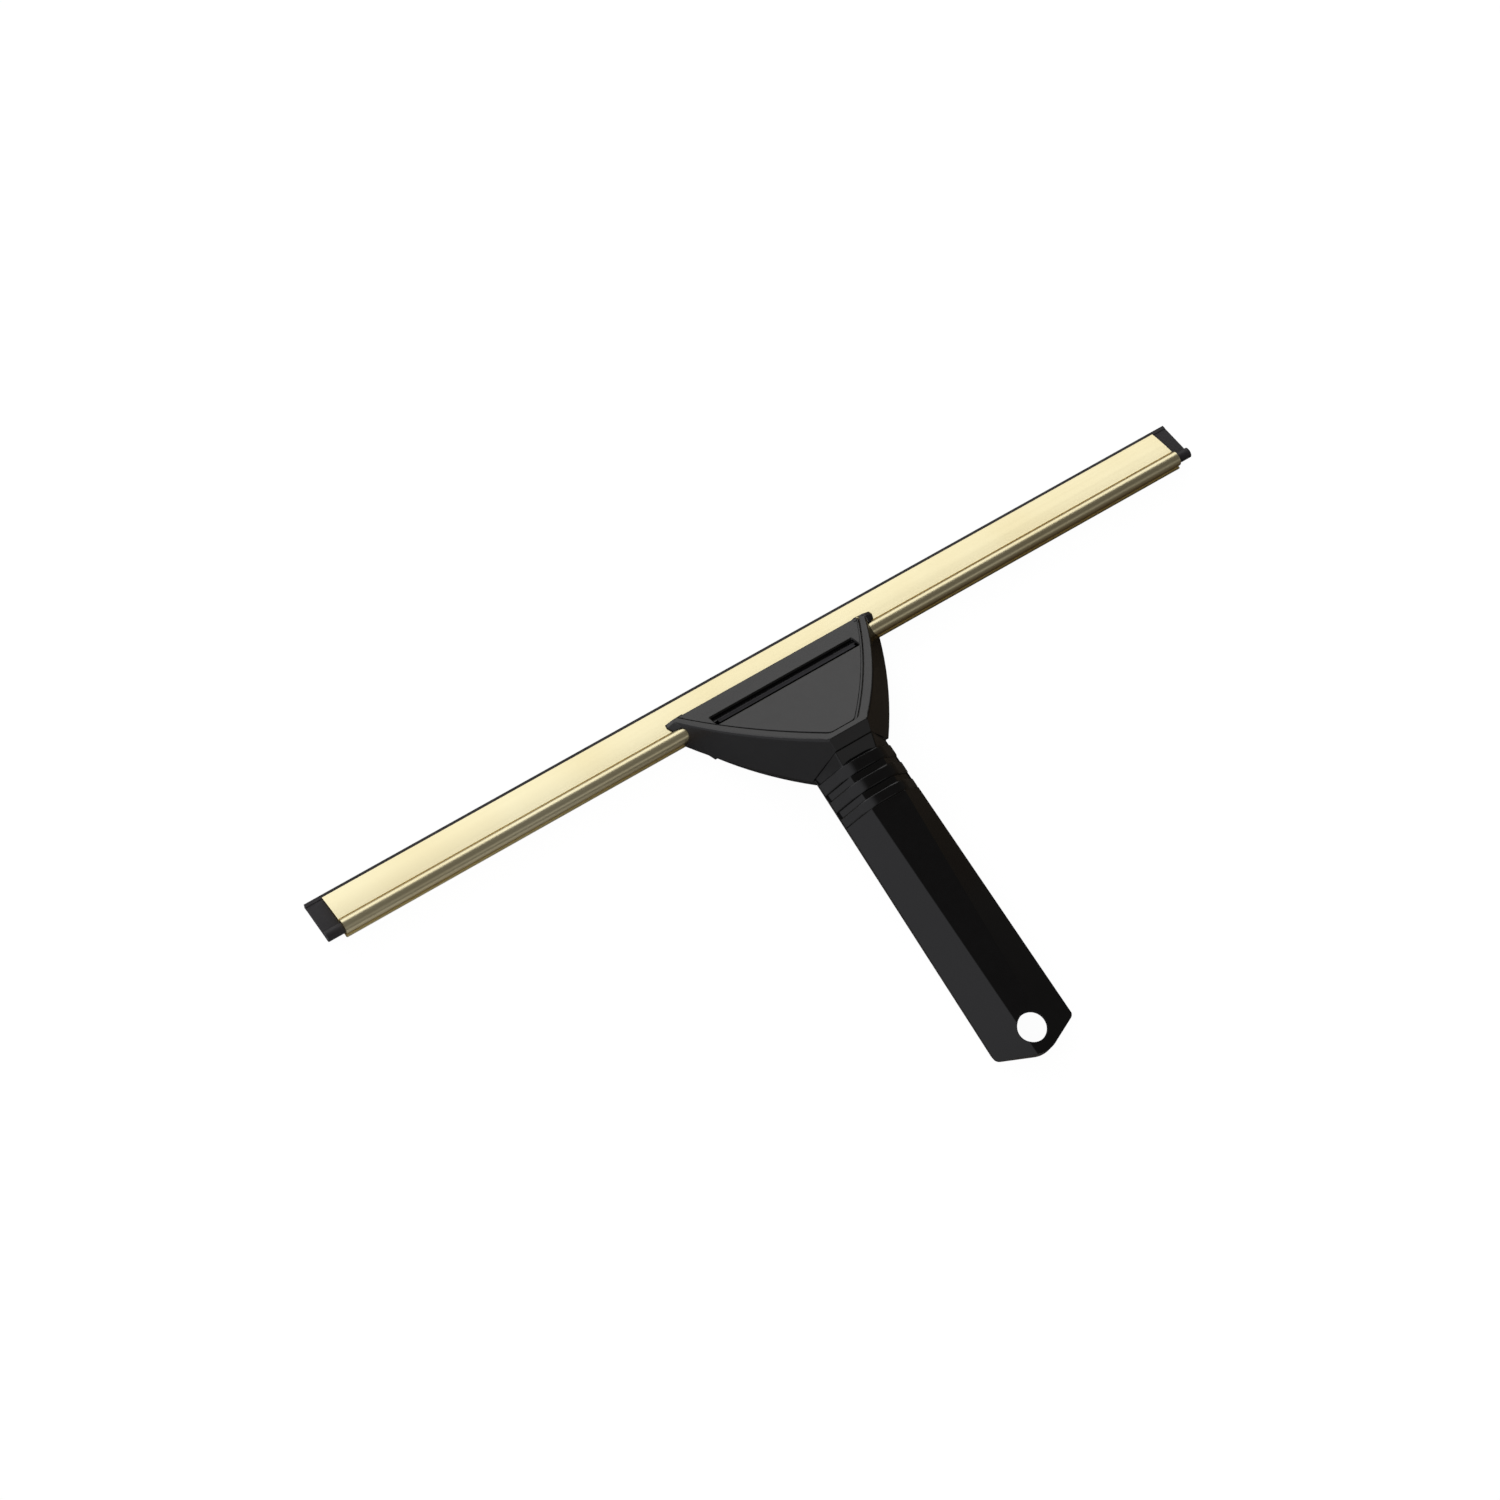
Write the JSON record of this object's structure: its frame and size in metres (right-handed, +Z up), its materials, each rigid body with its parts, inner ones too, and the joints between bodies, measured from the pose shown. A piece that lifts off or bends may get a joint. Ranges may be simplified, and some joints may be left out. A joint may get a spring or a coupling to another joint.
{
  "type": "window squeegee",
  "caption": "Window squeegee: a gold anodised channel with a full-length rubber blade, clamped in the fan-shaped head of a black faceted handle with a hanging hole.",
  "frame": {"origin": "On the table, under the middle of the model's bounding box, with the squeegee lying head up on its rubber lip and the end of its grip.", "axes": "+X along the channel, +Y from the grip towards the rubber, +Z up."},
  "size_m": [0.3624, 0.176, 0.0361],
  "materials": {
    "gold_aluminium": "gold anodised, satin",
    "black_rubber": "moulded, cut edge",
    "black_plastic": "moulded, glossy",
    "bar_steel": "drawn, dull",
    "insert_brass": "turned",
    "screw_steel": "zinc plated"
  },
  "bodies": {
    "handle": {"handle_top_shell": "black_plastic", "handle_base_shell": "black_plastic", "clamp_bar": "bar_steel", "clamp_inserts": "insert_brass", "clamp_screws": "screw_steel", "grip_screws": "screw_steel"},
    "channel": {"blade_channel": "gold_aluminium"},
    "rubber": {"rubber_blade": "black_rubber"}
  },
  "joints": [
    {"name": "channel_slide", "type": "slide", "parent": "handle", "child": "channel", "axis": [1, 0, 0], "range_m": [-0.13, 0.13]},
    {"name": "rubber_slide", "type": "slide", "parent": "channel", "child": "rubber", "axis": [1, 0, 0], "range_m": [-0.3, 0.3]}
  ]
}
